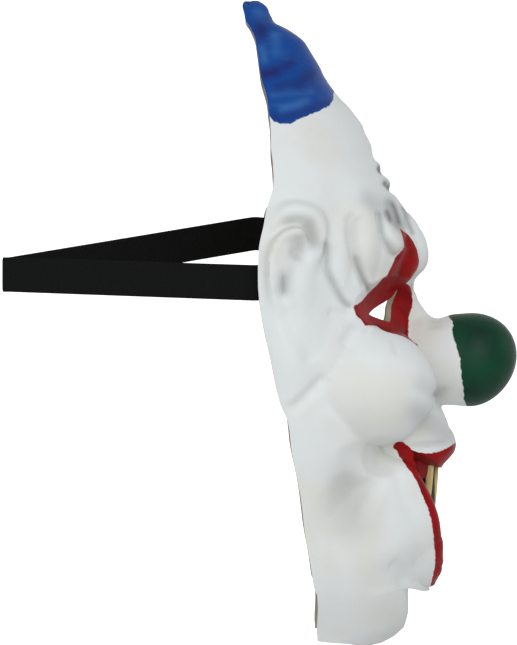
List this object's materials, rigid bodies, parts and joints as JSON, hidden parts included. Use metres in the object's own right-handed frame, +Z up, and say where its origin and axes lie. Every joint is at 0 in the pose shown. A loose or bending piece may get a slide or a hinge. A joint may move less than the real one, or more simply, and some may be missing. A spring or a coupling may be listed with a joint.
{
  "type": "clown mask",
  "caption": "Hollow latex clown face mask with a ball nose, hair tuft, open mouth and ears, held by a flat elastic strap round the back of the head.",
  "frame": {"origin": "the brow seat: the mid-plane point inside the brow where the wearer's forehead bears", "axes": "+Z up, the face looks towards -Y, the wearer's left is +X"},
  "size_m": [0.184, 0.2665, 0.3335],
  "materials": {
    "latex": "matt white latex with red, green, blue, yellow and black paint",
    "elastic": "black woven elastic with fine lengthwise ribs",
    "patch": "plain unpainted latex"
  },
  "bodies": {
    "root": {"mask_shell": "latex", "head_strap": "elastic", "strap_patch_right": "patch", "strap_patch_left": "patch"}
  },
  "joints": []
}
